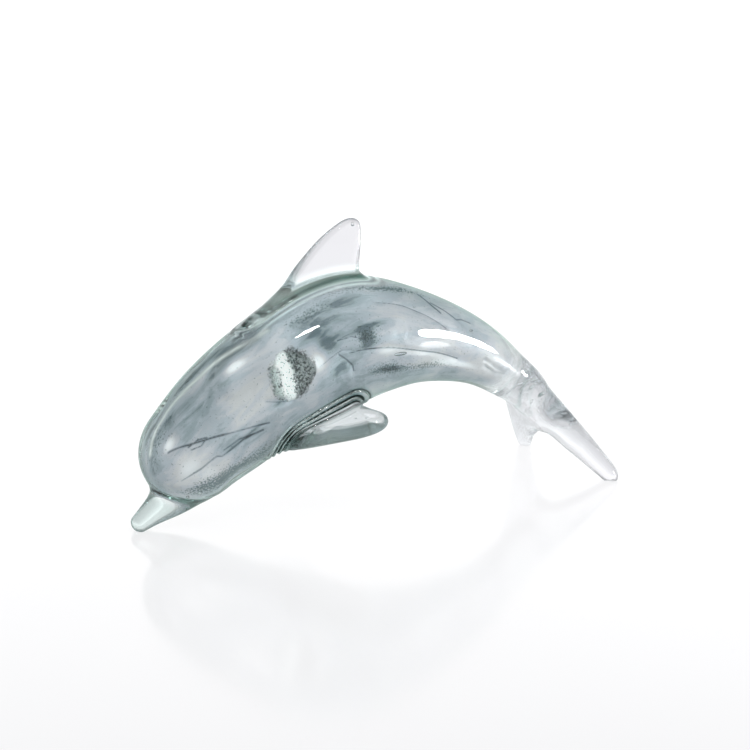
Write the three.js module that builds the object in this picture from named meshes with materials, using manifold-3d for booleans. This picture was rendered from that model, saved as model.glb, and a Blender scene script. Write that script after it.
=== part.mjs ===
// Leaping dolphin figurine in solid, hot-worked clear glass with a smoky colour veil inside.
// It stands on three small flats: the tip of the beak and the tips of the two tail flukes.
// Millimetres. +X runs from the beak to the tail, +Y to the dolphin's right side, +Z up.
// The origin is on the table, under the middle of the overall length and width.

import * as THREE from "three";
import { mergeVertices } from "three/addons/utils/BufferGeometryUtils.js";
import Module from "manifold-3d";

const wasm = await Module();
wasm.setup();

// ---------- Driving dimensions ----------

const FUSE_GAP = 0.3; // clearance kept between two bits of glass that are fused on the real object
const VEIL_THICKNESS = 1.0; // rolled colour powder between the inner and the outer gather
const CORE_SHARE = 0.58; // radius of the inner gather as a share of the outer radius
const CORE_NECK_RADIUS = 4; // the inner gather is drawn out to this radius where it meets the tail
const CORE_START = 12; // depth of clear glass in front of the core, in the head
const CORE_FRONT_ROUND = 22; // length of the core's round front
const CORE_NECK_START = 214; // where the core starts to narrow, along the spine
const CORE_NECK_END = 256;
const SEAM_AT = 262; // where the body gather meets the drawn tail stock, along the spine

// The body: spine point, half depth (in the plane of symmetry) and half width (across it).
const BODY = [
  { x: -127.8, z: 19.5, depth: 26.3, width: 25.5 },
  { x: -109.4, z: 39.8, depth: 28.6, width: 28 },
  { x: -92.9, z: 53.3, depth: 32.3, width: 30.5 },
  { x: -63, z: 73, depth: 35.5, width: 33 },
  { x: -35, z: 86.5, depth: 37.5, width: 34 },
  { x: -9, z: 93, depth: 36.5, width: 33 },
  { x: 15, z: 92.5, depth: 31.5, width: 30 },
  { x: 34, z: 89.5, depth: 26.8, width: 25.5 },
  { x: 54, z: 83.8, depth: 22.6, width: 21.5 },
  { x: 77, z: 73.5, depth: 17.9, width: 17.5 },
  { x: 97, z: 59.5, depth: 14.3, width: 14 },
  { x: 112.5, z: 46.5, depth: 11.4, width: 12 },
  { x: 120, z: 36.5, depth: 8.5, width: 10 },
];
const HEAD_ROUND = 27; // length of the round front of the head
const STOCK_ROUND = 9; // length of the round end of the tail stock

const BEAK = [
  { x: -104, z: 29, depth: 13, width: 13 },
  { x: -119, z: 17.5, depth: 11.5, width: 11.5 },
  { x: -131.5, z: 9.5, depth: 7.4, width: 7.5 },
  { x: -143.2, z: 1.8, depth: 4.2, width: 4.8 },
];
const BEAK_ROOT_ROUND = 6;
const BEAK_TIP_ROUND = 3.5;

// A fin is a stack of sections: height from its root, where the section starts and ends along the
// chord, and half its thickness.
const DORSAL_FIN = {
  origin: new THREE.Vector3(0, 0, 0),
  chord: new THREE.Vector3(1, 0, 0),
  height: new THREE.Vector3(0, 0, 1),
  sections: [
    { at: 104, lead: -84, trail: 16, half: 6.2 },
    { at: 124, lead: -58, trail: 9, half: 5.4 },
    { at: 128, lead: -53, trail: -0.5, half: 5 },
    { at: 132, lead: -48.5, trail: -4, half: 4.6 },
    { at: 148, lead: -34, trail: -4, half: 3.4 },
    { at: 156, lead: -25, trail: -3, half: 2.8 },
    { at: 162, lead: -17, trail: -1.5, half: 2.6 },
  ],
  tipRound: 9,
};
const PECTORAL_FIN = {
  origin: new THREE.Vector3(-41, -12, 52.1),
  chord: new THREE.Vector3(0.933, 0, 0.36),
  height: new THREE.Vector3(0, -0.995, -0.1),
  sections: [
    { at: 0, lead: -25, trail: 28, half: 7 },
    { at: 12, lead: -22, trail: 27, half: 5.5 },
    { at: 22, lead: -12, trail: 28, half: 4.6 },
    { at: 32, lead: 2, trail: 31, half: 4.4 },
    { at: 42, lead: 14, trail: 34.5, half: 4.2 },
  ],
  tipRound: 9,
};
const FLUKE = {
  origin: new THREE.Vector3(114.3, 0, 43.5),
  chord: new THREE.Vector3(0.55, 0, -0.835),
  height: new THREE.Vector3(0, -1, 0),
  sections: [
    { at: -4, lead: -23, trail: 21, half: 6.2 },
    { at: 8, lead: -20, trail: 26, half: 6.8 },
    { at: 20, lead: -8, trail: 33.5, half: 7.3 },
    { at: 32, lead: 12.5, trail: 43, half: 7.2 },
    { at: 44, lead: 32, trail: 53.5, half: 6.8 },
    { at: 50, lead: 40, trail: 57, half: 6.6 },
  ],
  tipRound: 11,
};
const SILVER_LEAF = { x: -57, z: 82, halfLength: 13.5, halfHeight: 11.5, depth: 40 };

const RING_POINTS = 24;
const FIN_POINTS = 18;
const CAP_STEPS = 5;
const BODY_STEP = 9; // spacing of the body's rings
const FLOOR_BLOCK = { length: 400, width: 200, height: 40 };

// ---------- Curves ----------

const lerp = THREE.MathUtils.lerp;
const smooth = THREE.MathUtils.smoothstep;

// Spine and section sizes of a bent, tapered bar, read at a distance along its spine.
function bar(stations) {
  const spine = new THREE.CatmullRomCurve3(stations.map((p) => new THREE.Vector3(p.x, 0, p.z)));
  const sizes = new THREE.CatmullRomCurve3(stations.map((p) => new THREE.Vector3(p.depth, p.width, 0)));
  const length = spine.getLength();
  const at = (distance) => {
    const t = spine.getUtoTmapping(THREE.MathUtils.clamp(distance / length, 0, 1));
    const centre = spine.getPoint(t);
    const along = spine.getTangent(t);
    const size = sizes.getPoint(t);
    return { centre, up: new THREE.Vector3(-along.z, 0, along.x), depth: size.x, width: size.y };
  };
  return { length, at };
}

// Distances from `from` to `to` for a profile that starts and ends round, with the share of the
// full section that the rounding leaves at each.
function roundedSteps(from, to, startRound, endRound, step) {
  const steps = [];
  for (let i = 0; i < CAP_STEPS && startRound > 0; i++) {
    const angle = (i / CAP_STEPS) * (Math.PI / 2);
    steps.push({ at: from + startRound * (1 - Math.cos(angle)), share: Math.sin(angle) });
  }
  const straight = to - endRound - (from + startRound);
  const count = Math.max(1, Math.round(straight / step));
  for (let i = 0; i <= count; i++) steps.push({ at: from + startRound + (straight * i) / count, share: 1 });
  for (let i = CAP_STEPS - 1; i >= 0 && endRound > 0; i--) {
    const angle = (i / CAP_STEPS) * (Math.PI / 2);
    steps.push({ at: to - endRound * (1 - Math.cos(angle)), share: Math.sin(angle) });
  }
  return steps;
}

// ---------- Solids ----------

// A lathe whose profile holds [share of the section, distance along the spine], bent onto a bar.
function bentLathe(shape, profile) {
  const points = profile.map(([share, distance]) => new THREE.Vector2(share, distance));
  const geometry = new THREE.LatheGeometry(points, RING_POINTS);
  const position = geometry.getAttribute("position");
  for (let i = 0; i < position.count; i++) {
    const { centre, up, depth, width } = shape.at(position.getY(i));
    centre.addScaledVector(up, depth * position.getX(i));
    position.setXYZ(i, centre.x, width * position.getZ(i), centre.z);
  }
  return geometry;
}

// A solid bar from `from` to `to`, thickened all round by `grow`.
function solidBar(shape, startRound, endRound, from = 0, to = shape.length, grow = 0) {
  const steps = roundedSteps(from, to, startRound, endRound, BODY_STEP);
  const profile = steps.map(({ at, share }) => [share * (1 + grow / shape.at(at).depth), at]);
  if (startRound === 0) profile.unshift([0, from]);
  if (endRound === 0) profile.push([0, to]);
  return bentLathe(shape, profile);
}

// A fin: a lathe whose round sections are pressed into flat ones with round edges.
function fin({ origin, chord, height, sections, tipRound }) {
  const outline = new THREE.CatmullRomCurve3(
    sections.map((s) => new THREE.Vector3(s.lead, s.trail, s.half)),
    false,
    "catmullrom",
  );
  const first = sections[0].at;
  const last = sections[sections.length - 1].at;
  const sectionAt = (at) => {
    const next = Math.max(1, sections.findIndex((s) => s.at >= at));
    const before = sections[next - 1].at;
    const part = (at - before) / (sections[next].at - before);
    return outline.getPoint((next - 1 + part) / (sections.length - 1));
  };
  const steps = roundedSteps(first, last, 0, tipRound, 5);
  const profile = [[0, first], ...steps.map(({ at, share }) => [share, at])];
  const geometry = new THREE.LatheGeometry(
    profile.map(([share, at]) => new THREE.Vector2(share, at)),
    FIN_POINTS,
  );
  const across = new THREE.Vector3().crossVectors(chord, height).normalize();
  const position = geometry.getAttribute("position");
  for (let i = 0; i < position.count; i++) {
    const at = position.getY(i);
    const { x: lead, y: trail, z: half } = sectionAt(at);
    const place = origin.clone();
    place.addScaledVector(chord, lerp(lead, trail, 0.5 + position.getX(i) / 2));
    place.addScaledVector(height, at);
    place.addScaledVector(across, half * position.getZ(i));
    position.setXYZ(i, place.x, place.y, place.z);
  }
  return geometry;
}

function block(size, centre) {
  return new THREE.BoxGeometry(size.x, size.y, size.z).translate(centre.x, centre.y, centre.z);
}

// The closed geometry as a manifold-3d solid, turned the right way out.
function solid(geometry) {
  const bare = geometry.clone();
  bare.deleteAttribute("normal");
  bare.deleteAttribute("uv");
  const merged = mergeVertices(bare, 1e-3);
  const make = (triVerts) =>
    new wasm.Manifold(
      new wasm.Mesh({ numProp: 3, vertProperties: merged.attributes.position.array, triVerts }),
    );
  const made = make(new Uint32Array(merged.index.array));
  return made.volume() > 0 ? made : make(new Uint32Array(merged.index.array).reverse());
}

function geometryOf(made) {
  const mesh = made.getMesh();
  const geometry = new THREE.BufferGeometry()
    .setAttribute("position", new THREE.BufferAttribute(mesh.vertProperties, 3))
    .setIndex(new THREE.BufferAttribute(mesh.triVerts, 1));
  geometry.computeVertexNormals();
  return geometry;
}

// ---------- The body and its layers ----------

const body = bar(BODY);
const beakBar = bar(BEAK);

// Share of the body's section that the inner gather fills at a distance along the spine.
function coreShare(distance) {
  const { depth } = body.at(distance);
  return lerp(CORE_SHARE, CORE_NECK_RADIUS / depth, smooth(distance, CORE_NECK_START, CORE_NECK_END));
}

// Profile of a layer's surface, `out` millimetres outside the inner gather, up to `to`.
function layerProfile(out, to) {
  const steps = roundedSteps(CORE_START - out, to, CORE_FRONT_ROUND, 0, BODY_STEP);
  return steps.map(({ at, share }) => {
    const grow = out / body.at(at).depth;
    return [share === 0 ? 0 : share * (coreShare(at) + grow), at];
  });
}

function coreGather() {
  const profile = layerProfile(0, SEAM_AT - FUSE_GAP);
  return bentLathe(body, [...profile, [0, SEAM_AT - FUSE_GAP]]);
}

// A shell between two surfaces of the layers, open towards the tail.
function layerShell(innerOut, outerOut, to) {
  return bentLathe(body, [...layerProfile(outerOut, to), ...layerProfile(innerOut, to).reverse()]);
}

function clearCasing() {
  const to = SEAM_AT - FUSE_GAP / 2;
  const outside = roundedSteps(0, to, HEAD_ROUND, 0, BODY_STEP).map(({ at, share }) => [share, at]);
  const cavity = layerProfile(2 * FUSE_GAP + VEIL_THICKNESS, to).reverse();
  return bentLathe(body, [...outside, ...cavity]);
}

const tailStock = () => solidBar(body, 0, STOCK_ROUND, SEAM_AT + FUSE_GAP / 2);
const bodyEnvelope = solid(solidBar(body, HEAD_ROUND, STOCK_ROUND, 0, body.length, FUSE_GAP));

// The silver leaf is an oval patch let into the left side of the colour veil.
function leafCutter(grow) {
  return solid(
    new THREE.CylinderGeometry(1, 1, SILVER_LEAF.depth, RING_POINTS)
      .scale(SILVER_LEAF.halfLength + grow, 1, SILVER_LEAF.halfHeight + grow)
      .translate(SILVER_LEAF.x, -SILVER_LEAF.depth / 2, SILVER_LEAF.z),
  );
}

const veilShell = solid(layerShell(FUSE_GAP, FUSE_GAP + VEIL_THICKNESS, SEAM_AT - FUSE_GAP));
const colourVeil = () => veilShell.subtract(leafCutter(FUSE_GAP));
const silverLeaf = () => veilShell.intersect(leafCutter(0));

// ---------- Bits applied to the body ----------

const table = solid(
  block(
    new THREE.Vector3(FLOOR_BLOCK.length, FLOOR_BLOCK.width, FLOOR_BLOCK.height),
    new THREE.Vector3(0, 0, -FLOOR_BLOCK.height / 2),
  ),
);

const beak = () =>
  solid(solidBar(beakBar, BEAK_ROOT_ROUND, BEAK_TIP_ROUND)).subtract(bodyEnvelope).subtract(table);

const dorsalFin = () => solid(fin(DORSAL_FIN)).subtract(bodyEnvelope);

const pectoralFin = (side) => mirrored(solid(fin(PECTORAL_FIN)).subtract(bodyEnvelope), side);

function fluke(side) {
  const otherHalf = block(
    new THREE.Vector3(FLOOR_BLOCK.length, FLOOR_BLOCK.width, FLOOR_BLOCK.length),
    new THREE.Vector3(0, FLOOR_BLOCK.width / 2 - FUSE_GAP / 2, 0),
  );
  const left = solid(fin(FLUKE)).subtract(solid(otherHalf)).subtract(bodyEnvelope).subtract(table);
  return mirrored(left, side);
}

// The left-hand solid as it is, or its mirror image for the right-hand side.
function mirrored(made, side) {
  return side === "left" ? made : made.mirror([0, 1, 0]);
}

// ---------- Materials ----------

const glass = (color) =>
  new THREE.MeshStandardMaterial({ color, roughness: 0.03, metalness: 0, transparent: true, opacity: 0.35 });
const clearGlass = glass("#dfe8e6");
const coreGlass = glass("#cfdadd");
const veilPowder = new THREE.MeshStandardMaterial({ color: "#9fb0ba", roughness: 0.6, metalness: 0 });
const leafSilver = new THREE.MeshStandardMaterial({ color: "#c9cdca", roughness: 0.35, metalness: 1 });

// ---------- Assembly ----------

const dolphin = new THREE.Group();

function add(name, shape, material) {
  const geometry = shape.isBufferGeometry ? shape : geometryOf(shape);
  const mesh = new THREE.Mesh(geometry, material);
  mesh.name = name;
  dolphin.add(mesh);
}

add("clear_casing", clearCasing(), clearGlass);
add("core_gather", coreGather(), coreGlass);
add("colour_veil", colourVeil(), veilPowder);
add("silver_leaf", silverLeaf(), leafSilver);
add("tail_stock", tailStock(), clearGlass);
add("beak", beak(), clearGlass);
add("dorsal_fin", dorsalFin(), clearGlass);
for (const side of ["left", "right"]) {
  add(`pectoral_fin_${side}`, pectoralFin(side), clearGlass);
  add(`fluke_${side}`, fluke(side), clearGlass);
}

export default dolphin;
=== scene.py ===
"""Leaping dolphin figurine in solid, hot-worked glass: its visible pieces, materials, light and camera.

The outside is one fused surface. It is worked out as distance functions of the body and the applied
bits, blended where they are fused, then split into the pieces that the glassworker joined. Lengths are
in millimetres until a mesh is made, which is in metres in the CAD frame.
"""

import math

import bmesh
import bpy
import numpy as np
import openvdb
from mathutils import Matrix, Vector


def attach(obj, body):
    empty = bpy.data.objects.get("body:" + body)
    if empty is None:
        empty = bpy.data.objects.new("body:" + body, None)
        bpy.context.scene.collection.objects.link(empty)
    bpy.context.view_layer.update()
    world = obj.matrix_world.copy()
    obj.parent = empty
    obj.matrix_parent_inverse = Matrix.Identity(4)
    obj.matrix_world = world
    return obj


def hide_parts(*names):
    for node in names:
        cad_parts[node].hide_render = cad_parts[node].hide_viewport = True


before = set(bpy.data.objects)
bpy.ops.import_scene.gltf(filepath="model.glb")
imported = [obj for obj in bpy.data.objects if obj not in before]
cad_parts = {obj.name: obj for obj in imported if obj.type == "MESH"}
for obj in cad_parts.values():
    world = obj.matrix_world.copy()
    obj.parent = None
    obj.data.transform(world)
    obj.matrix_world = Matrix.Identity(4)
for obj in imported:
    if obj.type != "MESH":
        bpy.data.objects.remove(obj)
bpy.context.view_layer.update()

MM = 0.001

# ---------- Driving dimensions ----------

# Spine point (x, z), half depth in the plane of symmetry and half width across it.
BODY = [
    (-127.8, 19.5, 26.3, 25.5),
    (-109.4, 39.8, 28.6, 28),
    (-92.9, 53.3, 32.3, 30.5),
    (-63, 73, 35.5, 33),
    (-35, 86.5, 37.5, 34),
    (-9, 93, 36.5, 33),
    (15, 92.5, 31.5, 30),
    (34, 89.5, 26.8, 25.5),
    (54, 83.8, 22.6, 21.5),
    (77, 73.5, 17.9, 17.5),
    (97, 59.5, 14.3, 14),
    (112.5, 46.5, 11.4, 12),
    (120, 36.5, 8.5, 10),
]
HEAD_ROUND = 27
STOCK_ROUND = 9
SEAM_AT = 262

BEAK = [
    (-104, 29, 13, 13),
    (-119, 17.5, 11.5, 11.5),
    (-131.5, 9.5, 7.4, 7.5),
    (-143.2, 1.8, 4.2, 4.8),
]
BEAK_ROOT_ROUND = 6
BEAK_TIP_ROUND = 3.5

# Outline of each fin in its own plane: (along the chord, out from the root).
DORSAL_OUTLINE = [
    (-76, 102.5), (-67, 112.5), (-58.4, 120.4), (-50.4, 127.8), (-44.8, 135), (-38.9, 141.6),
    (-31.5, 149), (-24.2, 154.9), (-17, 159.4), (-10, 162), (-4.6, 160.5), (-3, 156), (-3.4, 146),
    (-4.4, 138), (-4, 130), (2, 118), (-10, 104), (-40, 100),
]
PECTORAL_OUTLINE = [
    (-26, -6), (-25, 4.5), (-21, 12.5), (-12, 21.3), (-1, 30), (9, 37.5), (18, 41.5), (25, 41),
    (28.5, 37.5), (28.5, 32), (27, 25), (26, 16), (28, 6), (29, -6), (0, -10),
]
FLUKE_OUTLINE = [
    (-22, -6), (-21, 3), (-18.5, 10), (-11, 18), (3, 26.5), (18, 35), (32, 43), (42, 48),
    (48.5, 49.5), (52.8, 47.5), (52.8, 43.5), (49, 39), (43.5, 33), (37.5, 26), (32, 17.5),
    (26.5, 9), (20, -6), (-10, -12),
]
# Where that plane is, and the plate's half thickness at its root, further out and at its tip.
DORSAL = {
    "origin": (0, 0, 0), "chord": (1, 0, 0), "out": (0, 0, 1),
    "half": (6, 4.4, 2.4), "edge": 3,
}
PECTORAL = {
    "origin": (-41, -12, 52.1), "chord": (0.933, 0, 0.36), "out": (0, -0.995, -0.1),
    "half": (6.5, 5.4, 4.6), "edge": 5.2,
}
FLUKE = {"chord": (0.55, 0, -0.835), "out": (0, -1, 0), "edge": 9}
FLUKE_LEFT = {"origin": (114.3, 0, 43.5), "half": (5.5, 7.3, 5.4)}
FLUKE_RIGHT = {"origin": (112.3, 0, 42.4), "half": (5, 6, 4)}

# Each hot joint: width of its fillet, then height, spacing and reach of the ridges that the jacks
# leave there, and darkness of the shade painted between them.
JOINTS = {
    "beak": (9, 0.1, 8, 5, 0),
    "dorsal": (8, 0.2, 7, 7, 0.1),
    "pectoral": (8, 0.75, 5, 8, 1),
    "fluke": (9, 0.1, 5, 6, 0.25),
}
RIDGES_CLOSE_AT = -66  # x where the ridges lie closest together
RIDGES_OPEN_AT = -25  # x where they are back to their spacing
RIDGES_SHARE = 0.55  # of their spacing, where they lie closest together
RIDGES_SHIFT = 3  # how far their middle lies onto the body's side of the joint
RIDGES_FADE = (12, 6)  # distances from the bit between which they fade in
BEAK_STAIN = 0.22  # smoke that tints the beak all through
STAIN_BLEND = 6  # how far it takes to fade out
SHADED_CORNER = (-62, -27, 50)  # where shade is painted, at the front of each pectoral joint
SHADED_CORNER_RADIUS = 5
SHADED_CORNER_SHARE = 0.35  # how dark it is in the middle of that corner
NOTCH_FUSE = 8  # width of the fillet between the two flukes

# Painted bands of light round the dorsal fin's root: distance of the last one from the fin, spacing, and the
# x where they fade in.
LIT_BANDS_REACH = 7
LIT_BANDS_SPACING = 3.6
LIT_BANDS_FADE = (-76, -66)
LIT_BANDS_OFF_BODY = (8, 3)  # distances from the body between which they fade in
LIT_BANDS_MEAN = 0.55  # their brightness on average
LIT_BANDS_SWING = 0.45  # how far it rises and falls from that
FIN_GLOW = 0.25  # glow of the pectoral fins, as a share of those bands'
FIN_GLOW_OFF_BODY = (3, 10)  # distances from the body between which the pectoral fins' glow fades in
FIN_GLOW_OFF_FIN = (3, 0)  # the same, from the fin

# Where the glass is drawn out, by distance from each bit.
DRAWN_OFF_BODY = (0.3, 3)
DRAWN_OFF_BEAK = (0, 8)
BEAK_DRAWN = 0.4  # the beak's share, as it is thicker than the fins
DORSAL_ROOT = (12, 5)
STOCK_FADE = 30  # how far in front of the seam the tail stock begins to be drawn out

# Share of the body's half depth and half width that the inner gather fills, by distance along the spine.
GATHER_SHARE = [(0, 0.63), (60, 0.64), (110, 0.645), (160, 0.645), (214, 0.63), (240, 0.5), (262, 0.28)]
GATHER_FRONT = 8
GATHER_FRONT_ROUND = 22
GATHER_END = 261
GATHER_END_ROUND = 12
VEIL_THICKNESS = 1

# Marks on the veil are placed by distance along the spine in millimetres and by turn round it in
# degrees, where 0 is the back and -90 the left flank.
# Clouds: (along, turn, half length, half turn, strength), pale above 0 and dark below. The strongest pale
# ones, at (24, -28), (73, -20) and (110, -79), are painted highlights.
CLOUDS_AND_GLINTS = [
    (21, -80, 10, 26, 1.4), (27, -116, 9, 16, 1.1), (24, -28, 5, 10, 1.9), (73, -20, 6, 7, 2.6),
    (82, -24, 6, 6, 0.7), (110, -79, 3.5, 13, 2.5), (60, -92, 12, 12, 0.3), (46, -42, 12, 14, -0.2),
    (75, -52, 12, 14, 0.6), (96, -28, 14, 8, 0.7), (88, 8, 16, 16, -1.1), (122, -99, 7, 10, -1.3),
    (54, -92, 13, 6, -1.1), (44, -103, 8, 5, -1.0), (78, -96, 7, 8, -0.6), (80, -76, 9, 10, 0.8),
    (140, -76, 4, 16, -1.9), (148, -60, 10, 5, -1.2), (131, -62, 9, 5, -0.8), (137, -24, 18, 12, -1.5),
    (116, -40, 14, 14, -1.2), (118, -66, 6, 12, -1.5), (100, -50, 10, 6, -0.5), (60, -30, 14, 9, -0.6),
    (152, -98, 12, 10, 1.5), (154, -128, 15, 6, -1.8),
    (161, -57, 14, 20, 0.9), (176, -104, 14, 12, 1.0), (197, -80, 20, 44, 0.9), (240, -133, 7, 25, -0.4),
    (170, -2, 30, 8, -0.7), (33, 0, 18, 8, -1.0), (66, -8, 20, 7, -0.9), (38, -26, 10, 6, -0.3),
    (30, 34, 20, 9, -1.3), (62, 26, 20, 9, -1.2), (95, 10, 20, 9, -0.9), (60, -105, 10, 4, -1.0),
    (80, -98, 5, 4, -1.3), (165, -143, 34, 8, -1.1), (190, -134, 14, 5, -0.9),
    (205, -124, 22, 10, 1.9), (225, -84, 18, 40, 0.5), (40, 70, 14, 30, 0.8), (75, 110, 12, 20, -0.6),
    (105, 60, 16, 24, 0.7), (130, 100, 8, 25, -0.8), (160, 60, 16, 26, 0.8), (60, 20, 12, 10, -0.4),
    (185, 120, 20, 22, -0.5), (200, 70, 20, 40, 0.9), (110, 178, 30, 24, 0.5),
]
# Folds, as (width, line through (along, turn)).
FOLDS = [
    (1.1, [(21, -34), (29, -54), (36, -66), (48, -84), (58, -98), (69, -112)]),
    (0.8, [(28, -56), (34, -59), (38, -66), (33, -69), (28, -62)]),
    (1.2, [(15, -88), (25, -96), (35, -98), (37, -104), (52, -106), (64, -115)]),
    (0.9, [(40, -98), (50, -101), (60, -112)]),
    (1.1, [(122, -84), (125, -94), (128, -106), (128, -114)]),
    (0.6, [(109, -86), (118, -82), (124, -80), (131, -86)]),
    (0.9, [(74, -84), (80, -96), (86, -104)]),
    (0.7, [(128, -88), (140, -91), (154, -95), (180, -104), (205, -112)]),
    (0.6, [(124, -66), (132, -68), (138, -76)]),
    (1.2, [(178, -4), (181, -12), (184, -22), (189, -34)]),
    (0.9, [(184, -16), (192, -26), (200, -36), (204, -29), (211, -24)]),
    (0.6, [(150, -30), (164, -34), (178, -44), (192, -60)]),
    (0.7, [(228, -112), (238, -118), (246, -106)]),
    (0.6, [(226, -98), (238, -104), (250, -98)]),
    (1.0, [(30, 40), (48, 62), (70, 96), (96, 112)]),
    (0.6, [(34, 66), (52, 88), (66, 116)]),
    (0.6, [(118, 74), (142, 90), (176, 104), (204, 100)]),
    (0.9, [(128, 40), (138, 64), (134, 84)]),
]
# Painted highlights: bright lines where the layers part, as lines through (along, turn).
GLEAMS = [
    [(17, 6), (26, 14), (36, 18), (48, 15), (62, 9), (80, 1), (98, -7)],
    [(30, 100), (60, 84), (90, 92)],
]
# Dust of dark powder: (along, turn, half length, half turn, strength).
DUST = [
    (18, -126, 10, 14, 0.8), (46, -152, 26, 16, 1.1), (30, -140, 12, 14, 0.9), (152, -126, 14, 10, 1.0),
    (182, -129, 18, 8, 0.8), (158, -3, 24, 7, 1.1), (118, -18, 14, 8, 0.7), (140, -74, 7, 14, 0.9),
    (90, 150, 30, 20, 0.8), (50, 26, 16, 8, 0.6), (160, 118, 20, 12, 0.7), (22, 10, 10, 30, 0.5),
]
# Trapped bubbles, as (x, y, z, half length, half thickness) with the long way along X.
BUBBLES = [
    (7, -25.5, 88.5, 4.2, 1.0), (-8.2, 0, 158.4, 1.1, 1.1), (104, -5, 62, 1.5, 0.9), (109, -7, 56, 1.9, 1.1),
    (111, -2, 51, 1.3, 0.9), (115, -8, 47, 1.6, 1.0), (106, 4, 54, 2.0, 1.0), (118, 3, 43, 1.2, 0.8),
    (100, -6, 64.5, 1.0, 0.7), (-109, -11, 24.5, 1.1, 0.9), (-113, -5, 22, 0.8, 0.8), (60, -15, 93, 1.4, 0.6),
    (-22, -44, 57, 1.2, 0.7), (-27, -40, 56.5, 0.8, 0.6), (122, -30, 33, 1.3, 0.7), (116, 24, 38, 1.2, 0.7),
    (20, 22, 95, 2.4, 0.9), (-60, 28, 80, 1.2, 0.8),
]
FOLD_DEPTH = 0.6
FOLD_WIDTH = 2.2
GLEAM_WIDTH = 1.5
VEIL_FADES_FROM = 232
VEIL_FADES_TO = 257

# The silver leaf: its middle on the veil, and its half axes, as (along, turn).
LEAF_MIDDLE = (93.5, -75)
LEAF_ALONG = (12, -13)
LEAF_ROUND = (8, 28)

VOXEL = 0.8
VEIL_VOXEL = 0.65 * VOXEL
PAD = 6  # room left round a surface when it is polygonized
OUTSIDE_BOX = ((-146, -56, 0), (146, 56, 163))
LAYERS_BOX = ((-126, -26, 18), (106, 26, 120))

# ---------- Curves ----------


def cubic_spline(knots, values):
    """The natural cubic spline through values, one row per knot, as a function that also gives slopes."""
    knots = np.asarray(knots, float)
    values = np.asarray(values, float)
    gaps = np.diff(knots)
    slopes = np.diff(values, axis=0) / gaps[:, None]
    count = len(knots)
    system = np.eye(count)
    bends = np.zeros_like(values)
    for i in range(1, count - 1):
        system[i, i - 1:i + 2] = gaps[i - 1], 2 * (gaps[i - 1] + gaps[i]), gaps[i]
        bends[i] = 6 * (slopes[i] - slopes[i - 1])
    bends = np.linalg.solve(system, bends)

    def read(at, slope=False):
        at = np.clip(at, knots[0], knots[-1])
        i = np.clip(np.searchsorted(knots, at) - 1, 0, count - 2)
        gap = gaps[i][..., None]
        a = (knots[i + 1] - at)[..., None] / gap
        b = 1 - a
        if slope:
            return slopes[i] + gap / 6 * ((3 * b * b - 1) * bends[i + 1] - (3 * a * a - 1) * bends[i])
        bend = ((a ** 3 - a) * bends[i] + (b ** 3 - b) * bends[i + 1]) * gap * gap / 6
        return a * values[i] + b * values[i + 1] + bend

    return read


def closed_outline(points, count=90):
    """A smooth closed line through points, as count points."""
    points = np.asarray(points, float)
    lap = np.vstack([points[-3:], points, points[:4]])
    travel = np.concatenate([[0], np.cumsum(np.linalg.norm(np.diff(lap, axis=0), axis=1) ** 0.5)])
    at = np.linspace(travel[3], travel[3 + len(points)], count, endpoint=False)
    return cubic_spline(travel, lap)(at)


# ---------- Distance functions ----------


def smoothstep(value, low, high):
    share = np.clip((value - low) / (high - low), 0, 1)
    return share * share * (3 - 2 * share)


class Sweep:
    """A bent bar with elliptical sections and round ends, through stations of (x, z, depth, width)."""

    SAMPLES = 321
    STRIDE = 16

    def __init__(self, stations, start_round, end_round):
        stations = np.asarray(stations, float)
        gaps = np.linalg.norm(np.diff(stations[:, :2], axis=0), axis=1)
        chords = np.concatenate([[0], np.cumsum(gaps)])
        read = cubic_spline(chords, stations)
        fine = np.linspace(0, chords[-1], self.SAMPLES)
        rows = read(fine)
        slope = read(fine, slope=True)[:, :2]
        step = np.linalg.norm(np.diff(rows[:, :2], axis=0), axis=1)
        self.travel = np.concatenate([[0], np.cumsum(step)])
        self.length = self.travel[-1]
        self.points = rows[:, :2]
        self.along = slope / np.linalg.norm(slope, axis=1)[:, None]
        turning = np.unwrap(np.arctan2(self.along[:, 1], self.along[:, 0]))
        self.curvature = np.gradient(turning, self.travel)
        self.depth = rows[:, 2]
        self.width = rows[:, 3]
        self.start_round = start_round
        self.end_round = end_round

    def nearest(self, places):
        """Index of the sample nearest to each place: every 16th sample first, then those round it."""
        coarse = self.points[::self.STRIDE]
        first = ((places[:, None] - coarse) ** 2).sum(2).argmin(1) * self.STRIDE
        around = first[:, None] + np.arange(-self.STRIDE, self.STRIDE + 1)
        around = np.clip(around, 0, self.SAMPLES - 1)
        best = ((places[:, None] - self.points[around]) ** 2).sum(2).argmin(1)
        return around[np.arange(len(places)), best]

    def spine(self, x, z):
        """Distance along the spine, and out from it in the plane of symmetry, of each point."""
        shape = np.broadcast(x, z).shape
        px = np.broadcast_to(x, shape).ravel()
        pz = np.broadcast_to(z, shape).ravel()
        nearest = np.empty(px.size, int)
        for part in np.array_split(np.arange(px.size), 1 + px.size // 20000):
            nearest[part] = self.nearest(np.stack([px[part], pz[part]], 1))
        off = np.stack([px, pz], 1) - self.points[nearest]
        along = self.along[nearest]
        forward = (off * along).sum(1)
        out = off[:, 1] * along[:, 0] - off[:, 0] * along[:, 1]
        bend = np.maximum(1 - self.curvature[nearest] * out, 0.2)
        inside = (nearest > 0) & (nearest < self.SAMPLES - 1)
        at = self.travel[nearest] + np.where(inside, forward / bend, forward)
        return at.reshape(shape), out.reshape(shape)

    def sections(self, at):
        return np.interp(at, self.travel, self.depth), np.interp(at, self.travel, self.width)

    def distance(self, x, y, z):
        at, out = self.spine(x, z)
        depth, width = self.sections(at)
        front = np.maximum(0, 1 - at / self.start_round)
        back = np.maximum(0, 1 - (self.length - at) / self.end_round)
        return ellipsoid_distance(
            (out, depth), (y, width), (front, self.start_round, 1), (back, self.end_round, 1)
        )


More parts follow.
